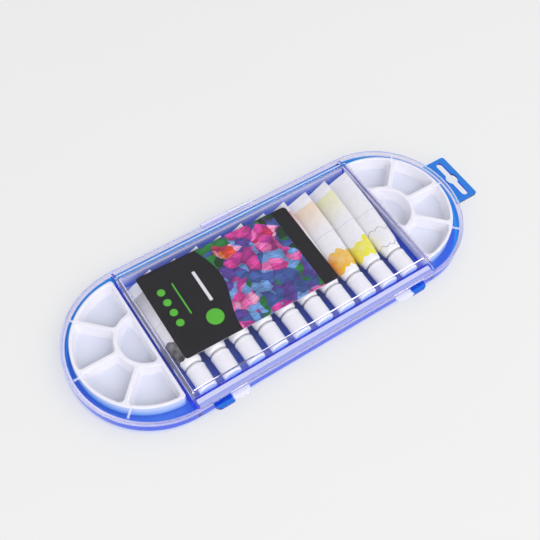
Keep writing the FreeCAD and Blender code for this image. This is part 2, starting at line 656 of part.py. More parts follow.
def build_cap(index):
    """Screw cap: a cup with both ends bevelled, bored for the tube's neck."""
    label = f"tube_cap_{index:02d}"
    body = new_body(label)
    section = new_sketch(body, f"{label}_section")
    back = "-(Sizes.shoulder_length + Sizes.cap_gap)"
    front = f"({back} - Sizes.cap_length)"
    bore_end = "-(Sizes.shoulder_length + Sizes.neck_length + Sizes.cap_bore_spare)"
    bore = "(Sizes.neck_radius + Sizes.neck_clearance)"
    draw_polygon(section, [("0", bore_end), ("0", front), ("Sizes.cap_radius - Sizes.cap_bevel", front),
                           ("Sizes.cap_radius", f"{front} + Sizes.cap_bevel"),
                           ("Sizes.cap_radius", f"{back} - Sizes.cap_rear_bevel"),
                           ("Sizes.cap_radius - Sizes.cap_rear_bevel", back), (bore, back), (bore, bore_end)])
    revolve(body, section, "V_Axis")
    place_in_row(body, index, tail_tilt(index))
    return body


def build_card():
    """Printed card on the tubes, from their shoulders to their sealed tails, lying a little askew."""
    body = new_body("label_card")
    left = f"-({BAY_HALF_LENGTH} - Sizes.card_margin)"
    front = f"({SHOULDER_Y} - Sizes.card_shoulder_overlap)"
    back = f"({SHOULDER_Y} + Sizes.tube_body_length + Sizes.card_tail_overlap)"
    face = new_sketch(body, "card_face")
    draw_rectangle(face, left, f"{left} + Sizes.card_length", front, back)
    extrude(body, "Pad", face, "Sizes.card_thick")
    round_edges(body, "card_corners", "Sizes.card_round",
                lambda edge: edge.BoundBox.XLength < NEAR and edge.BoundBox.YLength < NEAR)
    turn = FreeCAD.Rotation(FreeCAD.Vector(0, 0, -1), value("Sizes.card_skew"))
    body.Placement = FreeCAD.Placement(FreeCAD.Vector(), turn)
    body.setExpression("Placement.Rotation.Angle", "Sizes.card_skew")
    body.setExpression("Placement.Base.z", TUBE_TOP)
    return body


sub_parts = [build_base_tray(), build_lid()]
sub_parts += [build_palette("palette_left", -1), build_palette("palette_right", 1)]
for number in range(1, DRIVING_SIZES["tube_count"] + 1):
    sub_parts.append(build_tube(number))
    sub_parts.append(build_cap(number))
sub_parts.append(build_card())
doc.recompute()

for item in doc.Objects:
    if "Invalid" in item.State or "Error" in item.State:
        raise RuntimeError(f"{item.Name} failed: {item.State}")
for sub_part in sub_parts:
    if sub_part.Shape.isNull() or not sub_part.Shape.isValid():
        raise RuntimeError(f"{sub_part.Label} has no valid shape")

os.makedirs("parts", exist_ok=True)
for sub_part in sub_parts:
    sub_part.Shape.exportStep(f"parts/{sub_part.Label}.step")
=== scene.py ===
import math
import bmesh
import bpy
from mathutils import Matrix, Vector


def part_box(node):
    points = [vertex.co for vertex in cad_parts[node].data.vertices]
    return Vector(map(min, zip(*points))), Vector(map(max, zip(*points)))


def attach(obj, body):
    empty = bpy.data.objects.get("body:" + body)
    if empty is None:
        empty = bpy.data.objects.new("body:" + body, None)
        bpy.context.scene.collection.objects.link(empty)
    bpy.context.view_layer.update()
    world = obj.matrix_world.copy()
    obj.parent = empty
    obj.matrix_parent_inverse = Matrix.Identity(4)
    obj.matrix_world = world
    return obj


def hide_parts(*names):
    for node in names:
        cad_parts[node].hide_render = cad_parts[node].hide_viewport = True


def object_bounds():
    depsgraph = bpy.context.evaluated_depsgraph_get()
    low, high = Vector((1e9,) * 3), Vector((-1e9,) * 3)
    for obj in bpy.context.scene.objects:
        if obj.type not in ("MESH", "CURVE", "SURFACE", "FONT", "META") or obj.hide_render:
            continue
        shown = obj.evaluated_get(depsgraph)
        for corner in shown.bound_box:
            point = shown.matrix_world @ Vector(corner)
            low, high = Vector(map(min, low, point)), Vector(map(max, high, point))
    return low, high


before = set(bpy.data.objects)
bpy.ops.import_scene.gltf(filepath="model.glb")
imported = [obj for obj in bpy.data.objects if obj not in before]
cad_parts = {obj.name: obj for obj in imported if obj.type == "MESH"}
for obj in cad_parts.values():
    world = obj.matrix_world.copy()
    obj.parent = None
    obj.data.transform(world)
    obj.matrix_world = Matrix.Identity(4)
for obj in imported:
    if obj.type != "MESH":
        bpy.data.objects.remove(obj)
cad_low, cad_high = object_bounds()

MM = 0.001
WHITE = (1.0, 1.0, 1.0, 1.0)

# Camera fitted to the outline of the case, in metres, degrees and millimetres of lens.
CAMERA_PLACE = Vector((-0.2018, -0.2396, 0.5189))
CAMERA_TARGET = Vector((0.0022, 0.0088, 0.0043))
CAMERA_ROLL = 6.6
SENSOR_WIDTH = 36.0
LENS = 52.2
CLIP_NEAR = 0.01
CLIP_FAR = 50.0

# Light that renders a colour about as it is written.
WORLD_LIGHT = 0.66
MIRRORED_LIGHT = 0.25
SEEN_LIGHT = 0.86
LIGHT_BOUNCES = 24
CLEAR_BOUNCES = 32

# Pale floor just under the case, in metres.
FLOOR_GREY = (0.828, 0.828, 0.828, 1.0)
FLOOR_SHADE = (0.821, 0.821, 0.821, 1.0)
FLOOR_GLOW = 0.65
FLOOR_REACH = 6.0
FLOOR_DROP = 0.0002

# Plan of the case in millimetres: half its straight length, the outside and the inside of its wall,
# the height at which lid and tray meet, and half the length and width of the tube bay.
SPINE = 105.0
OUTSIDE = 65.0
INSIDE = 62.2
PARTING = 11.5
BAY_HALF_LENGTH = 104.0
BAY_HALF_WIDTH = 54.0
BEYOND_WALL = OUTSIDE + 0.2

# Matt zones of the lid in millimetres, and how matt they are from 0 to 1.
BOX_HALF_LENGTH = 103.8
BOX_BACK_WALL = (53.6, 56.6)
BOX_WALL_FOOT = 16.2
BOX_WALL_MATT = 0.4
FRONT_LEDGE = (-60.8, -57.3)
FRONT_LEDGE_EDGE = -63.4
FRONT_EDGE_MATT = 0.5
BACK_LEDGE = (56.6, 58.6)
LEDGE_HEIGHT = 15.6
RIB_TOP = 14.6
RIB_START = SPINE + 1.5
RIB_END = INSIDE - 0.3
TAB_MATT = 0.7

# Matt zones of the tray in the same units; a pair of shares goes with the pair of places before it.
WALL_TOP = (INSIDE - 0.1, OUTSIDE - 0.1)
WALL_TOP_FADE = (-62.0, -30.0)
WALL_TOP_MATT = (0.5, 1.0)
TRAY_FLOOR = (1.0, 1.8)
FLOOR_HAZE = 0.09
BAY_HAZE_RISE = (20.0, 44.0)
BAY_HAZE = (0.05, 0.42)
BACK_RAIL = (54.0, 56.0)
RAIL_HALF_LENGTH = 104.5
RAIL_FOOT = 1.9
RAIL_HAZE_RISE = (3.0, 12.0)
RAIL_HAZE = (0.2, 0.6)

# Deeper blue of the tray's tabs, and a painted shade that darkens its floor between the caps.
TAB_BLUE = (0.70, 0.50, 0.90, 1.0)
CAP_ZONE = (-54.0, -20.0)
# Painted shade: the colour that darkens the tray floor by the caps.
CAP_ZONE_PAINTED_SHADE = (0.75, 0.55, 0.72, 1.0)

TUBE_COUNT = 10
ROUND_STEPS = 64

# Colour of the paint in each tube, from the left end of the row.
PAINTS = (
    (0.045, 0.043, 0.040), (0.120, 0.035, 0.018), (0.030, 0.105, 0.045), (0.020, 0.300, 0.120),
    (0.025, 0.060, 0.420), (0.520, 0.015, 0.130), (0.800, 0.060, 0.020), (0.870, 0.500, 0.020),
    (0.840, 0.800, 0.020), (0.800, 0.800, 0.790),
)
WHITE_PAINT = TUBE_COUNT

# Print on the tubes, in millimetres from the shoulder.
LAMINATE_WHITE = (0.88, 0.88, 0.88, 1.0)
BAND_FOOT = 3.6
BAND_TOP = 16.5
BAND_LINE = 0.4
RULE = (37.0, 37.35)
TINT_RISE = (40.0, 66.0)
TINT_SHARE = 0.42
TINT_STOP = 69.0

# Sizes of the tubes and caps in millimetres, measured from the shoulder of the tube.
TUBE_RADIUS = 9.0
NECK_RADIUS = 3.94
NECK_END = -12.8
NECK_BEVEL = 0.5
SHOULDER_FOOT = -2.8
SHOULDER_FOOT_RADIUS = 6.0
SHOULDER_TOP = 0.4
SHOULDER_RADIUS = 7.7
SHOULDER_TAPER = 12.0
BODY_START = 1.6
BODY_STEPS = 26
FLAT_START = 4.0
DENT_DEPTH = 0.10
DENT_TURN = 0.35
CRIMP_START = 72.7
CRIMP_END = 78.7
CRIMP_RUN_IN = 1.2
CRIMP_HALF_THICK = 0.55
CRIMP_SPREAD = 4.6
RIDGE_STEPS = 24
RIDGE_MARGIN = 2
RIDGE_DEPTH = 0.07
TILT = 30.0
TILT_SPREAD = 5.0
CAP_REAR = 4.3
CAP_FRONT = 22.8
CAP_COLLAR_LENGTH = 2.6
CAP_COLLAR_RADIUS = 7.4
CAP_RADIUS = 7.2
CAP_FRONT_RADIUS = 7.05
CAP_REAR_ROUND = 1.4
CAP_FRONT_ROUND = 1.0
CAP_BORE = 4.06
CAP_BORE_END = 13.9
CAP_BORE_BEVEL = 0.6
CAP_MOUTH_DEPTH = 0.7
CAP_RECESS_DEPTH = 0.5

# Sizes of the printed card in millimetres, and its turn in degrees.
CARD_LENGTH = 132.0
CARD_WIDTH = 76.0
CARD_CORNER = 3.0
CARD_SKEW = 1.0

# Print on the card, in millimetres from its middle.
CARD_BLACK = (0.006, 0.005, 0.008, 1.0)
CARD_GREEN = (0.09, 0.48, 0.03, 1.0)
CARD_PALE = (0.75, 0.75, 0.76, 1.0)
PANEL_EDGE = -14.0
STRIP_START = 53.0
LARGE_DOT = (-31.0, -19.0)
LARGE_DOT_RADIUS = 6.6
DOT_COUNT = 4
FIRST_DOT = (-55.0, 18.0)
DOT_STEP = 9.5
DOT_RADIUS = 3.0
GREEN_RULE = ((-45.0, -43.9), (-8.0, 21.0))
PALE_RULE = ((-27.5, -25.0), (-6.0, 22.0))
PRINT_BLUR = 0.1

# Colours of the paint dabs on the card, each with the share of the chances at which it starts.
DABS = (
    (0.00, (0.010, 0.045, 0.015)), (0.09, (0.02, 0.20, 0.04)), (0.18, (0.05, 0.10, 0.34)),
    (0.28, (0.10, 0.05, 0.30)), (0.36, (0.16, 0.34, 0.66)), (0.42, (0.42, 0.03, 0.26)),
    (0.50, (0.66, 0.05, 0.30)), (0.58, (0.82, 0.16, 0.44)), (0.66, (0.86, 0.36, 0.56)),
    (0.73, (0.58, 0.02, 0.10)), (0.82, (0.78, 0.07, 0.03)), (0.91, (0.84, 0.24, 0.04)),
)
DAB_SCALE = 125.0
PATCH_SCALE = 46.0
PATCH_SHARE = 0.7
DAB_BEND = 0.011
DAB_SHIFT = (0.313, 0.127, 0.0)

# Sizes of the palettes in millimetres, about the middle of the flat side.
PALETTE_RIM = 2.6
SPOKE_HALF = 1.7
SPOKE_STEP = 45.0
WELL_COUNT = 4
HUB_RADIUS = 20.5
HUB_WALL = 3.4
WELL_DEPTH = 10.9
WELL_DRAFT = 7.0
WELL_CORNER = 3.0
CORNER_SHRINK = 0.4
WELL_EDGE_ROUND = 0.8
WELL_FOOT_ROUND = 0.9
OUTER_DRAFT = 3.0
OUTER_ROUND = 0.8
OUTER_CORNER = 2.5
OUTER_FOOT_BEVEL = 1.2
PALETTE_FLOOR = 3.45

# Steps of the palettes' arcs and rounds.
EDGE_STEPS = 5
FOOT_STEPS = 8
WEDGE_CORNER_STEPS = 6
WEDGE_OUTER_STEPS = 16
WEDGE_INNER_STEPS = 10
HALF_CORNER_STEPS = 8
OUTLINE_STEPS = 56
HUB_STEPS = 32


# Shader tree helpers
class Tree:
    """The node tree of a material or world, with short calls that add a node and join its sockets."""

    def __init__(self, owner, output="ShaderNodeOutputMaterial"):
        owner.use_nodes = True
        self.nodes = owner.node_tree.nodes
        self.links = owner.node_tree.links
        self.nodes.clear()
        self.output = self.nodes.new(output)

    def add(self, kind, sockets=None, **settings):
        node = self.nodes.new("ShaderNode" + kind)
        for name, value in settings.items():
            setattr(node, name, value)
        for name, value in (sockets or {}).items():
            self.feed(node.inputs[name], value)
        return node

    def feed(self, socket, value):
        if isinstance(value, bpy.types.NodeSocket):
            self.links.new(value, socket)
        else:
            socket.default_value = value

    def math(self, operation, *values):
        node = self.add("Math", operation=operation)
        for socket, value in zip(node.inputs, values):
            self.feed(socket, value)
        return node.outputs["Value"]

    def product(self, first, *others):
        for other in others:
            first = self.math("MULTIPLY", first, other)
        return first

    def highest(self, first, *others):
        for other in others:
            first = self.math("MAXIMUM", first, other)
        return first

    def negative(self, value):
        if isinstance(value, bpy.types.NodeSocket):
            return self.math("MULTIPLY", value, -1.0)
        return -value

    def colour_mix(self, share, first, second, blend="MIX"):
        node = self.add("Mix", data_type="RGBA", blend_type=blend)
        self.feed(node.inputs[0], share)
        self.feed(node.inputs[6], first)
        self.feed(node.inputs[7], second)
        return node.outputs[2]

    def place(self):
        return self.add("TexCoord").outputs["Object"]

    def axes_mm(self):
        """The place on the piece in its own axes, in millimetres."""
        grown = self.add("VectorMath", operation="SCALE")
        self.feed(grown.inputs[0], self.place())
        grown.inputs["Scale"].default_value = 1.0 / MM
        split = self.add("SeparateXYZ", {"Vector": grown.outputs[0]})
        return split.outputs["X"], split.outputs["Y"], split.outputs["Z"]

    def noise(self, vector, scale, detail=3.0, roughness=0.5):
        sockets = {"Vector": vector, "Scale": scale, "Detail": detail, "Roughness": roughness}
        return self.add("TexNoise", sockets).outputs["Fac"]

    def cells(self, vector, scale):
        sockets = {"Vector": vector, "Scale": scale, "Randomness": 1.0}
        return self.add("TexVoronoi", sockets, feature="F1", distance="EUCLIDEAN")

    def chance(self, cells):
        """A number from 0 to 1 for each cell."""
        return self.add("SeparateColor", {"Color": cells.outputs["Color"]}).outputs[0]

    def remap(self, value, low, high, to_low, to_high):
        sockets = {"Value": value, "From Min": low, "From Max": high, "To Min": to_low, "To Max": to_high}
        return self.add("MapRange", sockets).outputs["Result"]

    def bump(self, height, strength, distance):
        sockets = {"Height": height, "Strength": strength, "Distance": distance}
        return self.add("Bump", sockets).outputs["Normal"]

    def above(self, value, level, blur):
        """1 where value passes level, 0 below it, with a soft step between."""
        return self.remap(self.math("SUBTRACT", value, level), -blur, blur, 0.0, 1.0)

    def below(self, value, level, blur):
        """1 where value stays under level, 0 above it, with a soft step between."""
        return self.above(self.negative(value), self.negative(level), blur)

    def between(self, value, low, high, blur):
        """1 where value lies from low to high, 0 elsewhere, with soft steps."""
        return self.product(self.above(value, low, blur), self.below(value, high, blur))

    def within(self, value, half, blur):
        """1 where value lies no further than half from 0, with soft steps."""
        return self.between(value, -half, half, blur)

    def wave(self, value, length, height, phase):
        turns = self.math("MULTIPLY_ADD", value, 2.0 * math.pi / length, phase)
        return self.math("MULTIPLY", self.math("SINE", turns), height)

    def lobes(self, value, length, height, phase):
        """A row of round lobes along value."""
        turns = self.math("MULTIPLY_ADD", value, math.pi / length, phase)
        return self.math("MULTIPLY", self.math("ABSOLUTE", self.math("SINE", turns)), height)

    def length(self, across, along):
        squares = self.math("ADD", self.math("POWER", across, 2.0), self.math("POWER", along, 2.0))
        return self.math("SQRT", squares)

    def disc(self, x, y, centre, radius, blur):
        away = self.length(self.math("SUBTRACT", x, centre[0]), self.math("SUBTRACT", y, centre[1]))
        return self.below(away, radius, blur)

    def stadium(self, x, y):
        """Distance in plan from the straight line that joins the centres of the round ends."""
        beyond = self.math("MAXIMUM", self.math("SUBTRACT", self.math("ABSOLUTE", x), SPINE), 0.0)
        return self.length(beyond, y)

    def surface(self, shader):
        self.links.new(shader, self.output.inputs["Surface"])

    def volume(self, shader):
        self.links.new(shader, self.output.inputs["Volume"])


def new_material(name):
    material = bpy.data.materials.new(name)
    return material, Tree(material)


# Clear plastics
def lid_frost(tree):
    """How matt the lid is: ledges beside the box, the box's back wall, the ribs, its tabs and knuckle."""
    x, y, z = tree.axes_mm()
    along_box = tree.within(x, BOX_HALF_LENGTH, 0.1)
    front_edge = tree.product(tree.between(y, FRONT_LEDGE_EDGE, FRONT_LEDGE[1], 0.1), FRONT_EDGE_MATT)
    ledges = tree.highest(tree.between(y, *FRONT_LEDGE, 0.1), front_edge, tree.between(y, *BACK_LEDGE, 0.1))
    strips = tree.product(ledges, along_box, tree.above(z, LEDGE_HEIGHT, 0.1))
    under = tree.between(z, PARTING, RIB_TOP, 0.05)
    past_spine = tree.above(tree.math("ABSOLUTE", x), RIB_START, 0.1)
    ribs = tree.product(under, tree.below(tree.stadium(x, y), RIB_END, 0.05), past_spine)
    tabs = tree.product(tree.above(tree.math("ABSOLUTE", y), BEYOND_WALL, 0.1), TAB_MATT)
    wall = tree.product(tree.between(y, *BOX_BACK_WALL, 0.1), along_box, tree.above(z, BOX_WALL_FOOT, 0.1),
                        BOX_WALL_MATT)
    return tree.highest(strips, ribs, tabs, wall)


def tray_frost(tree):
    """How matt the tray is: wall top and lip, knuckle, back rail, and faintly its floor."""
    x, y, z = tree.axes_mm()
    away = tree.stadium(x, y)
    top = tree.product(tree.above(z, PARTING - 0.1, 0.03), tree.remap(y, *WALL_TOP_FADE, *WALL_TOP_MATT),
                       tree.between(away, *WALL_TOP, 0.05))
    bay = tree.product(tree.within(x, BAY_HALF_LENGTH, 0.1), tree.within(y, BAY_HALF_WIDTH, 0.1))
    haze = tree.math("MULTIPLY_ADD", bay, tree.remap(y, *BAY_HAZE_RISE, *BAY_HAZE), FLOOR_HAZE)
    floor = tree.product(tree.between(z, *TRAY_FLOOR, 0.1), tree.below(away, INSIDE, 0.1), haze)
    rail = tree.product(tree.within(x, RAIL_HALF_LENGTH, 0.1), tree.between(y, *BACK_RAIL, 0.1),
                        tree.above(z, RAIL_FOOT, 0.1), tree.remap(z, *RAIL_HAZE_RISE, *RAIL_HAZE))
    return tree.highest(top, floor, rail, tree.above(y, BEYOND_WALL, 0.1))


def tray_tint(tree):
    """Deeper blue of the tray's tabs, which stick out from under the lid, and a painted shade that darkens
    its floor by the caps.
    """
    x, y, _ = tree.axes_mm()
    tabs = tree.highest(tree.above(x, SPINE + BEYOND_WALL, 0.2), tree.below(y, -BEYOND_WALL, 0.1))
    colour = tree.colour_mix(tabs, WHITE, TAB_BLUE)
    # Painted shade: the tray floor by the caps is darkened to a deeper blue.
    caps = tree.product(tree.within(x, BAY_HALF_LENGTH, 0.1), tree.between(y, *CAP_ZONE, 3.0))
    return tree.colour_mix(caps, colour, CAP_ZONE_PAINTED_SHADE)


def clear_moulding(name, absorbed, density, shadow_tint, frost, frost_tint, frost_share, trapped_depth,
                   tint=None):
    """Clear polystyrene: it refracts, its depth takes colour, lamps shine through it, and it is partly matt.

    Light that is caught in it leaves after trapped_depth bounces."""
    material, tree = new_material(name)
    place = tree.place()
    flow = tree.noise(place, 45.0, 2.0)
    speckle = tree.noise(place, 700.0, 2.0)
    gloss = tree.remap(speckle, 0.3, 0.7, 0.01, 0.04)
    matt = frost(tree)
    # For the tray this tone holds its tabs' deeper blue and a painted shade on its floor by the caps.
    tone_and_painted_shade = tint(tree) if tint else WHITE
    glass = tree.add("BsdfPrincipled", {
        "Base Color": tree.colour_mix(matt, tone_and_painted_shade, frost_tint),
        "Roughness": tree.math("MULTIPLY_ADD", matt, 0.3, gloss), "IOR": 1.49,
        "Transmission Weight": tree.math("MULTIPLY_ADD", matt, -frost_share, 1.0),
        "Normal": tree.bump(flow, 0.03, 0.0003),
    })
    passing = tree.add("BsdfTransparent", {"Color": shadow_tint})
    path = tree.add("LightPath")
    trapped = tree.math("GREATER_THAN", path.outputs["Ray Depth"], trapped_depth)
    lit_through = tree.highest(path.outputs["Is Shadow Ray"], path.outputs["Is Diffuse Ray"], trapped)
    both = tree.add("MixShader", {0: lit_through, 1: glass.outputs[0], 2: passing.outputs[0]})
    tree.surface(both.outputs[0])
    depth = tree.add("VolumeAbsorption", {"Color": absorbed, "Density": density})
    tree.volume(depth.outputs[0])
    return material


# White plastics, tube print and card print
def moulded_white(name, colour, shade, gloss, grain_height, floor_height=None, painted_floor_shade=None):
    """White moulded plastic with a faint flow of tone and a fine satin grain.

    Below floor_height it takes a darker grey-blue colour, a painted shade of the well floors."""
    material, tree = new_material(name)
    place = tree.place()
    cloud = tree.noise(place, 40.0, 3.0)
    grain = tree.noise(place, 2600.0, 2.0)
    tone = tree.colour_mix(tree.remap(cloud, 0.35, 0.65, 0.0, 1.0), colour, shade)
    if floor_height is not None:
        # Painted shade: below floor_height the colour turns a darker grey-blue.
        height = tree.axes_mm()[2]
        tone = tree.colour_mix(tree.above(height, floor_height, 0.25), painted_floor_shade, tone)
    roughness = tree.remap(grain, 0.3, 0.7, gloss - 0.06, gloss + 0.06)
    plastic = tree.add("BsdfPrincipled", {
        "Base Color": tone, "Roughness": roughness, "IOR": 1.5,
        "Normal": tree.bump(grain, 0.15, grain_height),
    })
    tree.surface(plastic.outputs[0])
    return material


def tube_print(number):
    """White laminate with a wavy band of the paint's colour by the shoulder and a pale tint by the tail."""
    material, tree = new_material(f"tube_print_{number:02d}")
    place = tree.place()
    x, y, _ = tree.axes_mm()
    paint = PAINTS[number - 1] + (1.0,)
    phase = 1.7 * number
    upper = tree.math("ADD", tree.lobes(x, 7.4, 3.0, phase), tree.wave(x, 23.0, 2.0, 2.0 * phase))
    lower = tree.math("SUBTRACT", tree.wave(x, 19.0, 1.0, phase), tree.lobes(x, 5.6, 2.0, 0.6 * phase))
    upper = tree.math("ADD", upper, BAND_TOP)
    lower = tree.math("ADD", lower, BAND_FOOT)
    streak = tree.noise(place, 160.0, 4.0)
    if number == WHITE_PAINT:
        foot_line = tree.between(y, lower, tree.math("ADD", lower, BAND_LINE), 0.1)
        top_line = tree.between(y, tree.math("SUBTRACT", upper, BAND_LINE), upper, 0.1)
        colour = tree.colour_mix(tree.highest(foot_line, top_line), LAMINATE_WHITE, (0.09, 0.09, 0.09, 1.0))
    else:
        band = tree.between(y, lower, upper, 0.12)
        dense = tree.colour_mix(tree.remap(streak, 0.4, 0.7, 0.0, 0.25), paint, LAMINATE_WHITE)
        tint = tree.product(tree.remap(y, *TINT_RISE, 0.0, TINT_SHARE), tree.below(y, TINT_STOP, 0.1))
        colour = tree.colour_mix(tint, LAMINATE_WHITE, paint)
        colour = tree.colour_mix(band, colour, dense)
    rule = tree.product(tree.between(y, *RULE, 0.08), 0.5)
    colour = tree.colour_mix(rule, colour, (0.12, 0.12, 0.13, 1.0))
    seal = tree.product(tree.above(y, CRIMP_START - 0.4, 0.2), 0.35)
    colour = tree.colour_mix(seal, colour, (0.80, 0.80, 0.83, 1.0))
    grain = tree.noise(place, 1800.0, 2.0)
    sheen = tree.remap(streak, 0.3, 0.7, 0.22, 0.34)
    dents = tree.noise(place, 70.0, 2.0)
    relief = tree.math("ADD", dents, tree.math("MULTIPLY", grain, 0.02))
    laminate = tree.add("BsdfPrincipled", {
        "Base Color": colour, "Roughness": sheen, "IOR": 1.5,
        "Coat Weight": 0.25, "Coat Roughness": 0.15,
        "Normal": tree.bump(relief, 0.25, 0.0006),
    })
    tree.surface(laminate.outputs[0])
    return material


def paint_dabs(tree, place):
    """Small dabs of paint in patches of like colours, bent and streaked as a brush would leave them."""
    bend = tree.add("TexNoise", {"Vector": place, "Scale": 70.0, "Detail": 3.0})
    shifted = tree.add("VectorMath", {0: place, 1: DAB_SHIFT}, operation="ADD")
    bends = {0: bend.outputs["Color"], 1: (DAB_BEND, DAB_BEND, DAB_BEND), 2: shifted.outputs[0]}
    bent = tree.add("VectorMath", bends, operation="MULTIPLY_ADD").outputs[0]
    dabs = tree.cells(bent, DAB_SCALE)
    patch = tree.chance(tree.cells(bent, PATCH_SCALE))
    own_share = tree.math("MULTIPLY", tree.chance(dabs), 1.0 - PATCH_SHARE)
    ramp = tree.add("ValToRGB", {"Fac": tree.math("MULTIPLY_ADD", patch, PATCH_SHARE, own_share)})
    ramp.color_ramp.interpolation = "CONSTANT"
    elements = ramp.color_ramp.elements
    while len(elements) < len(DABS):
        elements.new(1.0)
    for element, (start, colour) in zip(elements, DABS):
        element.position = start
        element.color = colour + (1.0,)
    rim = tree.remap(dabs.outputs["Distance"], 0.2, 0.8, 1.1, 0.6)
    stretched = tree.add("Mapping", {"Vector": bent, "Scale": (140.0, 620.0, 140.0)})
    bristle = tree.noise(stretched.outputs[0], 1.0, 4.0)
    shade = tree.math("MULTIPLY", rim, tree.remap(bristle, 0.3, 0.7, 0.6, 1.35))
    tone = tree.add("CombineColor", {"Red": shade, "Green": shade, "Blue": shade})
    return tree.colour_mix(1.0, ramp.outputs["Color"], tone.outputs[0], "MULTIPLY")


def panel_marks(tree, x, y):
    """Plain dots and a rule on the dark panel."""
    marks = [tree.disc(x, y, LARGE_DOT, LARGE_DOT_RADIUS, PRINT_BLUR)]
    for step in range(DOT_COUNT):
        centre = (FIRST_DOT[0], FIRST_DOT[1] - DOT_STEP * step)
        marks.append(tree.disc(x, y, centre, DOT_RADIUS, PRINT_BLUR))
    marks.append(tree.product(tree.between(x, *GREEN_RULE[0], PRINT_BLUR),
                              tree.between(y, *GREEN_RULE[1], PRINT_BLUR)))
    return tree.highest(*marks)


def card_print():
    """Printed card: a dark panel with plain dots and rules, a field of paint dabs and a dark strip."""
    material, tree = new_material("card_print")
    place = tree.place()
    x, y, _ = tree.axes_mm()
    edge = tree.math("ADD", tree.wave(y, 90.0, 5.0, 0.9), PANEL_EDGE)
    dark = tree.highest(tree.below(x, edge, PRINT_BLUR), tree.above(x, STRIP_START, PRINT_BLUR))
    colour = tree.colour_mix(dark, paint_dabs(tree, place), CARD_BLACK)
    colour = tree.colour_mix(panel_marks(tree, x, y), colour, CARD_GREEN)
    pale = tree.product(tree.between(x, *PALE_RULE[0], PRINT_BLUR),
                        tree.between(y, *PALE_RULE[1], PRINT_BLUR))
    colour = tree.colour_mix(pale, colour, CARD_PALE)
    fibre = tree.noise(place, 1500.0, 3.0)
    board = tree.add("BsdfPrincipled", {
        "Base Color": colour, "Roughness": tree.remap(fibre, 0.3, 0.7, 0.5, 0.62), "IOR": 1.35,
        "Normal": tree.bump(fibre, 0.1, 0.00004),
    })
    tree.surface(board.outputs[0])
    return material


clear_lid = clear_moulding(
    "clear_lid", absorbed=(0.33, 0.07, 0.87, 1.0), density=14.0, shadow_tint=(0.97, 0.97, 0.99, 1.0),
    frost=lid_frost, frost_tint=(0.92, 0.92, 1.0, 1.0), frost_share=0.6, trapped_depth=4.0)
clear_blue = clear_moulding(
    "clear_blue", absorbed=(0.0, 0.79, 0.995, 1.0), density=1400.0, shadow_tint=(0.80, 0.86, 0.96, 1.0),
    frost=tray_frost, frost_tint=(0.86, 0.82, 0.96, 1.0), frost_share=0.85, trapped_depth=6.0, tint=tray_tint)
# The palettes' well floors take a darker grey-blue, a painted shade.
palette_white = moulded_white(
    "palette_white", colour=(0.89, 0.89, 0.91, 1.0), shade=(0.87, 0.87, 0.90, 1.0), gloss=0.32,
    grain_height=0.00003, floor_height=PALETTE_FLOOR, painted_floor_shade=(0.745, 0.775, 0.86, 1.0))
cap_white = moulded_white(
    "cap_white", colour=(0.88, 0.88, 0.89, 1.0), shade=(0.86, 0.86, 0.88, 1.0), gloss=0.38,
    grain_height=0.00003)
board_white = moulded_white(
    "board_white", colour=(0.80, 0.79, 0.76, 1.0), shade=(0.76, 0.75, 0.72, 1.0), gloss=0.6,
    grain_height=0.00004)


# Mesh helpers
def place_mesh(name, mesh, materials, place=(0.0, 0.0, 0.0)):
    """A smooth-shaded piece from a mesh in metres, at a place in metres."""
    for polygon in mesh.polygons:
        polygon.use_smooth = True
    for material in materials:
        mesh.materials.append(material)
    piece = bpy.data.objects.new(name, mesh)
    piece.location = place
    bpy.context.scene.collection.objects.link(piece)
    weighted = piece.modifiers.new("weighted", "WEIGHTED_NORMAL")
    weighted.keep_sharp = True
    return piece


def new_piece(name, vertices, faces, materials, place):
    """A smooth-shaded piece from points in millimetres about a place in metres."""
    mesh = bpy.data.meshes.new(name)
    mesh.from_pydata([tuple(c * MM for c in point) for point in vertices], [], faces)
    mesh.validate()
    return place_mesh(name, mesh, materials, place)


def stand_in(piece, node, body):
    """Puts the piece in the place of a CAD node: on the node's body, with the node hidden."""
    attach(piece, body)
    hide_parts(node)


def skin(rings):
    """Points and faces of a closed skin through rings of equally many points."""
    count = len(rings[0])
    points = [point for ring in rings for point in ring]
    faces = []
    for level in range(len(rings) - 1):
        low = level * count
        high = low + count
        for step in range(count):
            after = (step + 1) % count
            faces.append((low + step, low + after, high + after, high + step))
    faces.append(tuple(reversed(range(count))))
    faces.append(tuple(range(len(points) - count, len(points))))
    return points, faces


def arc(centre, radius, start, end, steps):
    """Points of a plane arc, with angles in degrees."""
    points = []
    for step in range(steps + 1):
        angle = math.radians(start + (end - start) * step / steps)
        points.append((centre[0] + radius * math.cos(angle), centre[1] + radius * math.sin(angle)))
    return points


# Paint tubes
def tube_section(width, thick, lens):
    """Section of a tube: an ellipse that turns into a sharp-edged lens as it is pressed flat."""
    ring = []
    for step in range(ROUND_STEPS):
        angle = 2.0 * math.pi * step / ROUND_STEPS
        across = math.cos(angle)
        round_rise = abs(math.sin(angle))
        lens_rise = 1.0 - across * across
        rise = round_rise + (lens_rise - round_rise) * lens
        ring.append((width * across, math.copysign(thick * rise, math.sin(angle))))
    return ring


def flat_section(width, thick):
    """Section of the sealed tail: a flat strip with round edges, point for point with tube_section."""
    ring = []
    for step in range(ROUND_STEPS):
        angle = 2.0 * math.pi * step / ROUND_STEPS
        rise = min(1.0, 2.2 * abs(math.sin(angle)) ** 0.5)
        ring.append((width * math.cos(angle), math.copysign(thick * rise, math.sin(angle))))
    return ring


def spread_width(thick):
    """Half width of a tube that is pressed down to a half thickness."""
    return TUBE_RADIUS + CRIMP_SPREAD * (1.0 - (thick / TUBE_RADIUS) ** 1.5)


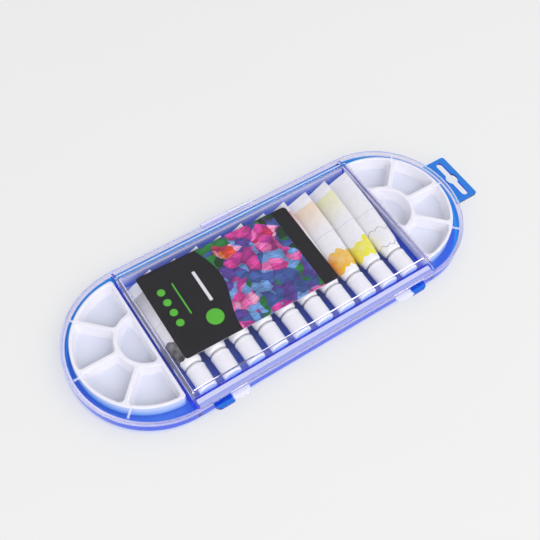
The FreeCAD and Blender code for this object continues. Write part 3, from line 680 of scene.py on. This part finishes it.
def tube_rings(tilt, phase):
    """Rings of a tube from its neck to its crimped tail, in its own axes with the tail along +Y."""
    turn = math.radians(tilt)
    rings = []

    def lay(y, section):
        rings.append([(x * math.cos(turn) - z * math.sin(turn), y, x * math.sin(turn) + z * math.cos(turn))
                      for x, z in section])

    for y, radius in ((NECK_END, NECK_RADIUS - NECK_BEVEL), (NECK_END + NECK_BEVEL, NECK_RADIUS),
                      (SHOULDER_FOOT - 0.3, NECK_RADIUS), (SHOULDER_FOOT, NECK_RADIUS + 0.3)):
        lay(y, tube_section(radius, radius, 0.0))
    rise = SHOULDER_RADIUS - SHOULDER_FOOT_RADIUS
    for away, height in arc((1.0, 0.0), 1.0, 180.0, 90.0, 8):
        radius = SHOULDER_FOOT_RADIUS + rise * height
        lay(SHOULDER_FOOT + (SHOULDER_TOP - SHOULDER_FOOT) * away, tube_section(radius, radius, 0.0))
    for step in range(1, BODY_STEPS + 1):
        y = BODY_START + (CRIMP_START - CRIMP_RUN_IN - BODY_START) * step / BODY_STEPS
        run = max(0.0, (y - FLAT_START) / (CRIMP_START - FLAT_START))
        thick = TUBE_RADIUS - (TUBE_RADIUS - CRIMP_HALF_THICK) * run
        thick -= DENT_DEPTH * math.sin(math.pi * run) * (1.0 + math.sin(DENT_TURN * y + phase))
        narrowing = (TUBE_RADIUS - SHOULDER_RADIUS) * max(0.0, 1.0 - y / SHOULDER_TAPER) ** 2
        lay(y, tube_section(spread_width(thick) - narrowing, thick - narrowing, run * run))
    # Heat-sealed tail with fine pressed ridges
    width = spread_width(CRIMP_HALF_THICK)
    for step in range(RIDGE_STEPS + 1):
        y = CRIMP_START + (CRIMP_END - CRIMP_START) * step / RIDGE_STEPS
        pressed = RIDGE_MARGIN < step < RIDGE_STEPS - RIDGE_MARGIN and step % 2
        lay(y, flat_section(width, CRIMP_HALF_THICK - (RIDGE_DEPTH if pressed else 0.0)))
    return rings


def shoulder_place(number):
    """Middle of a tube's shoulder in metres, from the box of its cap."""
    low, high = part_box(f"tube_cap_{number:02d}")
    middle = (low + high) / 2.0
    return (middle.x, high.y + CAP_REAR * MM, middle.z)


def add_tube(number):
    node = f"tube_{number:02d}"
    tilt = TILT + TILT_SPREAD if number % 2 else TILT - TILT_SPREAD
    points, faces = skin(tube_rings(tilt, 1.3 * number))
    piece = new_piece(f"paint_{node}", points, faces, [tube_print(number)], shoulder_place(number))
    stand_in(piece, node, "tray")


def cap_profile():
    """Half section of a cap from its bore round to its face: radius and distance from the shoulder."""
    collar_end = CAP_REAR + CAP_COLLAR_LENGTH
    rear_round = (CAP_REAR + CAP_REAR_ROUND, CAP_COLLAR_RADIUS - CAP_REAR_ROUND)
    front_round = (CAP_FRONT - CAP_FRONT_ROUND, CAP_FRONT_RADIUS - CAP_FRONT_ROUND)
    recess = CAP_FRONT - CAP_RECESS_DEPTH
    profile = [(CAP_BORE - CAP_BORE_BEVEL, CAP_BORE_END), (CAP_BORE, CAP_BORE_END - CAP_BORE_BEVEL),
               (CAP_BORE, CAP_REAR + CAP_MOUTH_DEPTH), (CAP_BORE + CAP_BORE_BEVEL, CAP_REAR)]
    profile += [(r, a) for a, r in arc(rear_round, CAP_REAR_ROUND, 180.0, 90.0, 7)]
    profile += [(CAP_COLLAR_RADIUS, collar_end), (CAP_RADIUS + 0.05, collar_end + 0.15),
                (CAP_RADIUS, collar_end + 0.4)]
    profile += [(r, a) for a, r in arc(front_round, CAP_FRONT_ROUND, 90.0, 0.0, 6)]
    profile += [(5.6, CAP_FRONT), (5.2, CAP_FRONT - 0.15), (5.0, recess), (0.8, recess), (0.5, recess + 0.15)]
    return profile


def add_cap(number):
    node = f"tube_cap_{number:02d}"
    rings = []
    for radius, distance in cap_profile():
        ring = []
        for step in range(ROUND_STEPS):
            angle = -2.0 * math.pi * step / ROUND_STEPS
            ring.append((radius * math.cos(angle), -distance, radius * math.sin(angle)))
        rings.append(ring)
    points, faces = skin(rings)
    piece = new_piece(f"screw_{node}", points, faces, [cap_white], shoulder_place(number))
    stand_in(piece, node, node)


# Palettes
def wedge_loop(inner, outer, gap, corner, turn):
    """Rounded outline of a ring sector between two spokes, drawn anticlockwise and turned to its place."""
    loop = []
    near, far = inner + corner, outer - corner
    side = gap + corner
    low_near, low_far = math.asin(side / near), math.asin(side / far)
    span = math.radians(SPOKE_STEP)
    centres = ((far, low_far), (far, span - low_far), (near, span - low_near), (near, low_near))
    starts = (-90.0, math.degrees(span - low_far), SPOKE_STEP + 90.0, 180.0 + math.degrees(low_near))
    ends = (math.degrees(low_far), SPOKE_STEP + 90.0, 180.0 + math.degrees(span - low_near), 270.0)
    for index, (reach, bearing) in enumerate(centres):
        centre = (reach * math.cos(bearing), reach * math.sin(bearing))
        loop += arc(centre, corner, starts[index], ends[index], WEDGE_CORNER_STEPS)
        if index == 0:
            bearings = (math.degrees(low_far), math.degrees(span - low_far))
            loop += arc((0.0, 0.0), outer, *bearings, WEDGE_OUTER_STEPS)[1:-1]
        if index == 2:
            bearings = (math.degrees(span - low_near), math.degrees(low_near))
            loop += arc((0.0, 0.0), inner, *bearings, WEDGE_INNER_STEPS)[1:-1]
    angle = math.radians(turn)
    return [(x * math.cos(angle) - y * math.sin(angle), x * math.sin(angle) + y * math.cos(angle))
            for x, y in loop]


def half_disc_loop(radius, flat, corner, steps):
    """Rounded outline of a disc cut off at a straight side, drawn anticlockwise."""
    reach = radius - corner
    bearing = math.degrees(math.acos((flat + corner) / reach))
    centre = (flat + corner, reach * math.sin(math.radians(bearing)))
    loop = arc((0.0, 0.0), radius, -bearing, bearing, steps)[:-1]
    loop += arc(centre, corner, bearing, 180.0, HALF_CORNER_STEPS)
    loop += arc((centre[0], -centre[1]), corner, 180.0, 360.0 - bearing, HALF_CORNER_STEPS)[:-1]
    return loop


def edge_levels(radius, end):
    """Inset and depth of each loop of a round edge, from the top face down to an angle in degrees."""
    levels = []
    for step in range(EDGE_STEPS + 1):
        angle = math.radians(end * step / EDGE_STEPS)
        levels.append((radius * (math.sin(angle) - 1.0), radius * (1.0 - math.cos(angle))))
    return levels


def well_levels():
    """Inset and depth of each loop down a well's wall: round edge, drafted wall, round foot."""
    levels = edge_levels(WELL_EDGE_ROUND, 90.0 - WELL_DRAFT)
    start_inset, start_depth = levels[-1]
    draft = math.radians(WELL_DRAFT)
    foot_top = WELL_DEPTH - WELL_FOOT_ROUND * (1.0 - math.sin(draft))
    wall_inset = start_inset + (foot_top - start_depth) * math.tan(draft)
    centre_inset = wall_inset + WELL_FOOT_ROUND * math.cos(draft)
    for step in range(FOOT_STEPS + 1):
        angle = math.radians(WELL_DRAFT + (90.0 - WELL_DRAFT) * step / FOOT_STEPS)
        levels.append((centre_inset - WELL_FOOT_ROUND * math.cos(angle),
                       WELL_DEPTH - WELL_FOOT_ROUND * (1.0 - math.sin(angle))))
    return levels


def outer_widening(height):
    """How far the drafted outer wall of a palette stands out at its widest, above the bevelled foot."""
    return math.tan(math.radians(OUTER_DRAFT)) * (height - OUTER_FOOT_BEVEL)


def outer_levels(height):
    """Outset and depth of each loop down the palette's outer wall, from the round rim to its foot."""
    widest = outer_widening(height)
    levels = edge_levels(OUTER_ROUND, 90.0)
    levels.append((widest, height - OUTER_FOOT_BEVEL))
    levels.append((widest - OUTER_FOOT_BEVEL, height))
    return levels


def add_palette(word, side):
    """Half-round palette with four wedge wells round a half-round well, all with round edges and feet."""
    node = f"palette_{word}"
    low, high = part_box(node)
    height = (high.z - low.z) / MM
    widest = outer_widening(height)
    radius = (high.y - low.y) / MM / 2.0 - widest
    flat_side = low.x if side > 0 else -high.x
    flat = -(PALETTE_RIM - SPOKE_HALF)
    middle_x = flat_side / MM - flat + widest
    middle_y = (low.y + high.y) / MM / 2.0
    form = bmesh.new()
    edges = []

    def add_loop(loop, depth):
        points = [(side * (middle_x + x), middle_y + side * y, high.z / MM - depth) for x, y in loop]
        return [form.verts.new([c * MM for c in point]) for point in points]

    def join(upper, lower):
        for step in range(len(upper)):
            after = (step + 1) % len(upper)
            form.faces.new((upper[step], upper[after], lower[after], lower[step]))

    def add_wall(loops):
        """A wall through loops given with their depths; the first loop is an edge of the top face."""
        previous = None
        for loop, depth in loops:
            current = add_loop(loop, depth)
            if previous is None:
                for step in range(len(current)):
                    edges.append(form.edges.new((current[step], current[(step + 1) % len(current)])))
            else:
                join(previous, current)
            previous = current
        form.faces.new(previous)

    add_wall([(half_disc_loop(radius + outset, flat - outset, OUTER_CORNER + outset, OUTLINE_STEPS), depth)
              for outset, depth in outer_levels(height)])
    inner, outer = HUB_RADIUS + HUB_WALL, radius - PALETTE_RIM
    wells = [(inset, depth, WELL_CORNER - CORNER_SHRINK * inset) for inset, depth in well_levels()]
    for index in range(WELL_COUNT):
        turn = -90.0 + SPOKE_STEP * index
        add_wall([(wedge_loop(inner + inset, outer - inset, SPOKE_HALF + inset, corner, turn), depth)
                  for inset, depth, corner in wells])
    add_wall([(half_disc_loop(HUB_RADIUS - inset, SPOKE_HALF + inset, corner, HUB_STEPS), depth)
              for inset, depth, corner in wells])
    bmesh.ops.triangle_fill(form, use_beauty=True, use_dissolve=False, edges=edges)
    bmesh.ops.recalc_face_normals(form, faces=form.faces[:])
    mesh = bpy.data.meshes.new(f"mixing_{node}")
    form.to_mesh(mesh)
    form.free()
    piece = place_mesh(f"mixing_{node}", mesh, [palette_white])
    stand_in(piece, node, "tray")


# Printed card
def add_card():
    low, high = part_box("label_card")
    middle = (low + high) / 2.0
    half_x, half_y = CARD_LENGTH / 2.0 - CARD_CORNER, CARD_WIDTH / 2.0 - CARD_CORNER
    half_z = (high.z - low.z) / MM / 2.0
    outline = []
    for sign_x, sign_y, start in ((1, -1, -90.0), (1, 1, 0.0), (-1, 1, 90.0), (-1, -1, 180.0)):
        outline += arc((sign_x * half_x, sign_y * half_y), CARD_CORNER, start, start + 90.0, 8)
    rings = [[(x, y, z) for x, y in outline] for z in (-half_z, half_z)]
    points, faces = skin(rings)
    piece = new_piece("printed_card", points, faces, [board_white, card_print()], middle)
    piece.data.polygons[len(faces) - 1].material_index = 1
    for polygon in piece.data.polygons:
        polygon.use_smooth = False
    piece.rotation_euler.z = -math.radians(CARD_SKEW)
    stand_in(piece, "label_card", "tray")


def dress(node, material):
    """Gives a CAD node its material."""
    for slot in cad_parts[node].material_slots:
        slot.material = material


dress("lid", clear_lid)
dress("base_tray", clear_blue)
for number in range(1, TUBE_COUNT + 1):
    add_tube(number)
    add_cap(number)
add_palette("left", -1)
add_palette("right", 1)
add_card()


# Stage, light and camera
def add_stage():
    """Pale floor that glows a little where it is seen, but not under the case."""
    material, tree = new_material("pale_floor")
    cloud = tree.noise(tree.place(), 3.0, 2.0)
    tone = tree.colour_mix(tree.remap(cloud, 0.3, 0.7, 0.0, 1.0), FLOOR_GREY, FLOOR_SHADE)
    matte = tree.add("BsdfPrincipled", {"Base Color": tone, "Roughness": 0.95, "Specular IOR Level": 0.0})
    glow = tree.add("Emission", {"Color": tone, "Strength": 1.0})
    path = tree.add("LightPath")
    seen = tree.highest(path.outputs["Is Camera Ray"], path.outputs["Is Glossy Ray"],
                        path.outputs["Is Transmission Ray"])
    x, y, _ = tree.axes_mm()
    open_floor = tree.above(tree.stadium(x, y), OUTSIDE, 1.0)
    share = tree.product(seen, open_floor, FLOOR_GLOW)
    both = tree.add("MixShader", {0: share, 1: matte.outputs[0], 2: glow.outputs[0]})
    tree.surface(both.outputs[0])
    mesh = bpy.data.meshes.new("floor")
    corners = [(FLOOR_REACH * x, FLOOR_REACH * y, 0.0) for x, y in ((-1, -1), (1, -1), (1, 1), (-1, 1))]
    mesh.from_pydata(corners, [], [(0, 1, 2, 3)])
    floor = bpy.data.objects.new("floor", mesh)
    floor.location.z = cad_low.z - FLOOR_DROP
    floor.data.materials.append(material)
    bpy.context.scene.collection.objects.link(floor)


def add_world():
    """The floor's tone behind the case, and dim overhead in what its surfaces mirror."""
    world = bpy.data.worlds.new("studio")
    bpy.context.scene.world = world
    tree = Tree(world, "ShaderNodeOutputWorld")
    path = tree.add("LightPath")
    heading = tree.add("SeparateXYZ", {"Vector": tree.add("TexCoord").outputs["Generated"]}).outputs["Z"]
    mirrored = tree.remap(heading, 0.25, 0.5, 1.0, MIRRORED_LIGHT)
    polished = tree.highest(path.outputs["Is Glossy Ray"], path.outputs["Is Transmission Ray"])
    strength = tree.remap(polished, 0.0, 1.0, WORLD_LIGHT, mirrored)
    strength = tree.remap(path.outputs["Is Camera Ray"], 0.0, 1.0, strength, SEEN_LIGHT)
    background = tree.add("Background", {"Color": WHITE, "Strength": strength})
    tree.surface(background.outputs[0])


def add_softbox(name, place, width, height, power):
    """Area lamp that points at the middle of the case."""
    light = bpy.data.lights.new(name, "AREA")
    light.shape = "RECTANGLE"
    light.size = width
    light.size_y = height
    light.energy = power
    lamp = bpy.data.objects.new(name, light)
    lamp.location = place
    lamp.rotation_mode = "QUATERNION"
    lamp.rotation_quaternion = (-Vector(place)).to_track_quat("-Z", "Y")
    bpy.context.scene.collection.objects.link(lamp)


def add_camera():
    data = bpy.data.cameras.new("photo_view")
    data.sensor_width = SENSOR_WIDTH
    data.lens = LENS
    data.clip_start = CLIP_NEAR
    data.clip_end = CLIP_FAR
    camera = bpy.data.objects.new("photo_view", data)
    forward = (CAMERA_TARGET - CAMERA_PLACE).normalized()
    right = forward.cross(Vector((0.0, 0.0, 1.0))).normalized()
    up = right.cross(forward)
    roll = math.radians(CAMERA_ROLL)
    turned_right = right * math.cos(roll) + up * math.sin(roll)
    turned_up = up * math.cos(roll) - right * math.sin(roll)
    turn = Matrix((turned_right, turned_up, -forward)).transposed()
    camera.matrix_world = Matrix.Translation(CAMERA_PLACE) @ turn.to_4x4()
    bpy.context.scene.collection.objects.link(camera)
    bpy.context.scene.camera = camera


add_stage()
add_world()
add_softbox("key", place=(-0.8, -1.5, 1.3), width=2.2, height=1.6, power=26.0)
add_softbox("fill", place=(1.1, -1.1, 1.5), width=2.0, height=1.6, power=18.0)
add_camera()
scene = bpy.context.scene
scene.view_settings.view_transform = "Standard"
scene.cycles.max_bounces = LIGHT_BOUNCES
scene.cycles.transmission_bounces = LIGHT_BOUNCES
scene.cycles.transparent_max_bounces = CLEAR_BOUNCES
